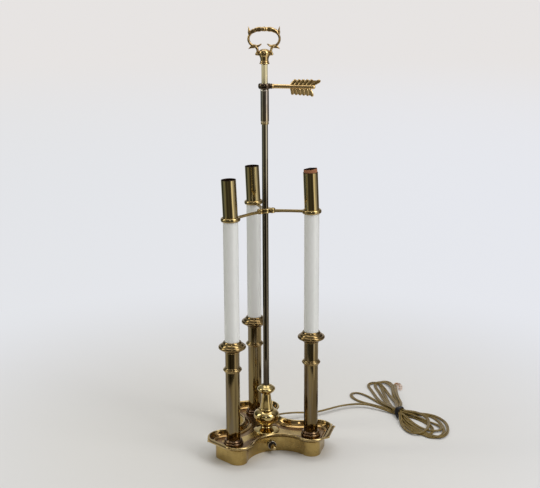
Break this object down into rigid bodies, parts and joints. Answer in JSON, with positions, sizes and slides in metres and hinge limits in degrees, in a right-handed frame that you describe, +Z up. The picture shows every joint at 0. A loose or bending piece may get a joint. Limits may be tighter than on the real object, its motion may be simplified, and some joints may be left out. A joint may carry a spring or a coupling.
{
  "type": "bouillotte lamp",
  "caption": "brass table lamp with candle-sleeve sockets on columns around a centre rod, a trefoil tray base, and an arrow-shaped screw clamp for a shade that slides and turns",
  "frame": {"origin": "on the centre rod's axis, at the underside of the felt", "axes": "+Z up along the centre rod; the switch faces -Y; one lobe and candle point to +Y, the other two to 210 and 330 degrees in plan; the cord leaves towards +X"},
  "size_m": [0.4153, 0.2859, 0.6631],
  "materials": {
    "satin_brass": "aged satin brass with mottled tarnish",
    "dark_steel": "blackened sheet steel",
    "felt": "dark green felt",
    "polished_brass": "polished brass, slightly aged",
    "dark_brass": "brass darkened by tarnish",
    "tarnished_brass": "tarnished brass with a brown and blue bloom",
    "socket_brass": "plain rolled brass",
    "steel": "plain steel",
    "nickel": "nickel plate, rubbed",
    "black_phenolic": "black moulded phenolic",
    "candle_white": "glossy white candle sleeve",
    "porcelain": "glazed porcelain",
    "liner_card": "brown pressed paper tube",
    "wire_insulation": "black insulated wire",
    "cord": "translucent gold-brown twin flex",
    "tie": "black plastic wire tie",
    "copper": "bare stranded copper"
  },
  "bodies": {
    "lamp": {"base_shell": "satin_brass", "bottom_cover": "dark_steel", "felt_pad": "felt", "rod_foot": "polished_brass", "centre_rod": "dark_brass", "rod_nut": "steel", "lock_nuts": "steel", "lock_washers": "steel", "switch_body": "black_phenolic", "switch_nut": "nickel", "switch_leads": "wire_insulation", "wire_splice": "porcelain", "supply_wire": "wire_insulation", "candle_wires": "wire_insulation", "cord_bushing": "black_phenolic", "candle_bracket": "polished_brass", "bracket_screw": "steel", "finial_knob": "polished_brass", "finial_handle": "polished_brass", "cord_lead": "cord", "cord_hank": "cord", "cord_tie": "tie", "cord_strands": "copper", "socket_contacts": "polished_brass", "foot_ring_left": "dark_brass", "column_tube_left": "tarnished_brass", "column_collar_left": "tarnished_brass", "candle_cup_left": "polished_brass", "candle_pipe_left": "steel", "candle_tube_left": "candle_white", "socket_body_left": "black_phenolic", "socket_shell_left": "socket_brass", "socket_cover_left": "polished_brass", "socket_liner_left": "liner_card", "foot_ring_right": "dark_brass", "column_tube_right": "tarnished_brass", "column_collar_right": "tarnished_brass", "candle_cup_right": "polished_brass", "candle_pipe_right": "steel", "candle_tube_right": "candle_white", "socket_body_right": "black_phenolic", "socket_shell_right": "socket_brass", "socket_cover_right": "polished_brass", "socket_liner_right": "liner_card", "foot_ring_rear": "dark_brass", "column_tube_rear": "tarnished_brass", "column_collar_rear": "tarnished_brass", "candle_cup_rear": "polished_brass", "candle_pipe_rear": "steel", "candle_tube_rear": "candle_white", "socket_body_rear": "black_phenolic", "socket_shell_rear": "socket_brass", "socket_cover_rear": "polished_brass", "socket_liner_rear": "liner_card"},
    "sleeve": {"clamp_sleeve": "tarnished_brass"},
    "ring": {"clamp_ring": "polished_brass"},
    "arrow": {"arrow_screw": "polished_brass"},
    "knob": {"switch_shaft": "steel", "switch_knob": "polished_brass"}
  },
  "joints": [
    {"name": "clamp_slide", "type": "slide", "parent": "lamp", "child": "sleeve", "axis": [0, 0, 1], "range_m": [-0.1, 0.027]},
    {"name": "clamp_swivel", "type": "hinge", "parent": "sleeve", "child": "ring", "pos_m": [0, 0, 0.5756], "axis": [0, 0, 1], "continuous": true},
    {"name": "arrow_turn", "type": "hinge", "parent": "ring", "child": "arrow", "pos_m": [0, 0, 0.5756], "axis": [0.866, -0.5, 0], "range_deg": [0, 180]},
    {"name": "switch_turn", "type": "hinge", "parent": "lamp", "child": "knob", "pos_m": [0.001, -0.037, 0.0113], "axis": [0, -1, 0], "continuous": true}
  ]
}
